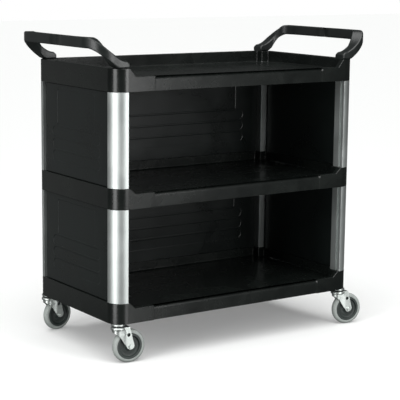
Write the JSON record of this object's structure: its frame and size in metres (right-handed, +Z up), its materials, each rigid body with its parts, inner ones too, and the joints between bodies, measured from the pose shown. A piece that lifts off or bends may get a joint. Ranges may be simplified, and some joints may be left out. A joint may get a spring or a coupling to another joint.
{
  "type": "food service trolley",
  "caption": "Moulded shelves on aluminium corner posts, open at the front, panelled at the ends and back, with push handles and swivel casters.",
  "frame": {"origin": "on the floor under the middle of the trolley", "axes": "+X along the trolley towards the right-hand handle, +Y towards the closed back, +Z up"},
  "size_m": [1.032, 0.4874, 0.96],
  "materials": {
    "shelf_plastic": "black structural foam, fine moulded texture, semi-gloss",
    "panel_plastic": "black moulded panel, fine texture, satin",
    "handle_plastic": "black moulded, fine texture, satin",
    "anodised_aluminium": "satin anodised extrusion",
    "zinc_plate": "bright zinc plate on pressed steel",
    "plain_steel": "turned",
    "core_plastic": "charcoal moulded",
    "grey_tread": "grey non-marking tread",
    "sleeve_plastic": "moulded sleeve",
    "seal_plastic": "moulded ring"
  },
  "bodies": {
    "frame": {"bottom_shelf": "shelf_plastic", "middle_shelf": "shelf_plastic", "top_shelf": "shelf_plastic", "handle_right": "handle_plastic", "handle_left": "handle_plastic", "lower_post_front_left": "anodised_aluminium", "upper_post_front_left": "anodised_aluminium", "handle_screw_front_left": "zinc_plate", "stem_socket_front_left": "sleeve_plastic", "swivel_stem_front_left": "zinc_plate", "swivel_seal_front_left": "seal_plastic", "lower_post_front_right": "anodised_aluminium", "upper_post_front_right": "anodised_aluminium", "handle_screw_front_right": "zinc_plate", "stem_socket_front_right": "sleeve_plastic", "swivel_stem_front_right": "zinc_plate", "swivel_seal_front_right": "seal_plastic", "lower_post_back_left": "anodised_aluminium", "upper_post_back_left": "anodised_aluminium", "handle_screw_back_left": "zinc_plate", "stem_socket_back_left": "sleeve_plastic", "swivel_stem_back_left": "zinc_plate", "swivel_seal_back_left": "seal_plastic", "lower_post_back_right": "anodised_aluminium", "upper_post_back_right": "anodised_aluminium", "handle_screw_back_right": "zinc_plate", "stem_socket_back_right": "sleeve_plastic", "swivel_stem_back_right": "zinc_plate", "swivel_seal_back_right": "seal_plastic", "lower_end_panel_right": "panel_plastic", "lower_end_panel_left": "panel_plastic", "lower_back_panel": "panel_plastic", "upper_end_panel_right": "panel_plastic", "upper_end_panel_left": "panel_plastic", "upper_back_panel": "panel_plastic"},
    "fork_body_front_left": {"fork_front_left": "zinc_plate", "axle_bolt_front_left": "zinc_plate", "axle_nut_front_left": "zinc_plate", "axle_bush_front_left": "plain_steel"},
    "wheel_body_front_left": {"wheel_core_front_left": "core_plastic", "tyre_front_left": "grey_tread"},
    "fork_body_front_right": {"fork_front_right": "zinc_plate", "axle_bolt_front_right": "zinc_plate", "axle_nut_front_right": "zinc_plate", "axle_bush_front_right": "plain_steel"},
    "wheel_body_front_right": {"wheel_core_front_right": "core_plastic", "tyre_front_right": "grey_tread"},
    "fork_body_back_left": {"fork_back_left": "zinc_plate", "axle_bolt_back_left": "zinc_plate", "axle_nut_back_left": "zinc_plate", "axle_bush_back_left": "plain_steel"},
    "wheel_body_back_left": {"wheel_core_back_left": "core_plastic", "tyre_back_left": "grey_tread"},
    "fork_body_back_right": {"fork_back_right": "zinc_plate", "axle_bolt_back_right": "zinc_plate", "axle_nut_back_right": "zinc_plate", "axle_bush_back_right": "plain_steel"},
    "wheel_body_back_right": {"wheel_core_back_right": "core_plastic", "tyre_back_right": "grey_tread"}
  },
  "joints": [
    {"name": "swivel_front_left", "type": "hinge", "parent": "frame", "child": "fork_body_front_left", "pos_m": [-0.4211, -0.2141, 0.112], "axis": [0, 0, 1], "continuous": true},
    {"name": "roll_front_left", "type": "hinge", "parent": "fork_body_front_left", "child": "wheel_body_front_left", "pos_m": [-0.38941, -0.21855, 0.051], "axis": [0.1392, 0.9903, 0], "continuous": true},
    {"name": "swivel_front_right", "type": "hinge", "parent": "frame", "child": "fork_body_front_right", "pos_m": [0.4211, -0.2141, 0.112], "axis": [0, 0, 1], "continuous": true},
    {"name": "roll_front_right", "type": "hinge", "parent": "fork_body_front_right", "child": "wheel_body_front_right", "pos_m": [0.45251, -0.2202, 0.051], "axis": [0.1908, 0.9816, 0], "continuous": true},
    {"name": "swivel_back_left", "type": "hinge", "parent": "frame", "child": "fork_body_back_left", "pos_m": [-0.4211, 0.2141, 0.112], "axis": [0, 0, 1], "continuous": true},
    {"name": "roll_back_left", "type": "hinge", "parent": "fork_body_back_left", "child": "wheel_body_back_left", "pos_m": [-0.38941, 0.21855, 0.051], "axis": [-0.1392, 0.9903, 0], "continuous": true},
    {"name": "swivel_back_right", "type": "hinge", "parent": "frame", "child": "fork_body_back_right", "pos_m": [0.4211, 0.2141, 0.112], "axis": [0, 0, 1], "continuous": true},
    {"name": "roll_back_right", "type": "hinge", "parent": "fork_body_back_right", "child": "wheel_body_back_right", "pos_m": [0.45251, 0.2202, 0.051], "axis": [-0.1908, 0.9816, 0], "continuous": true}
  ]
}
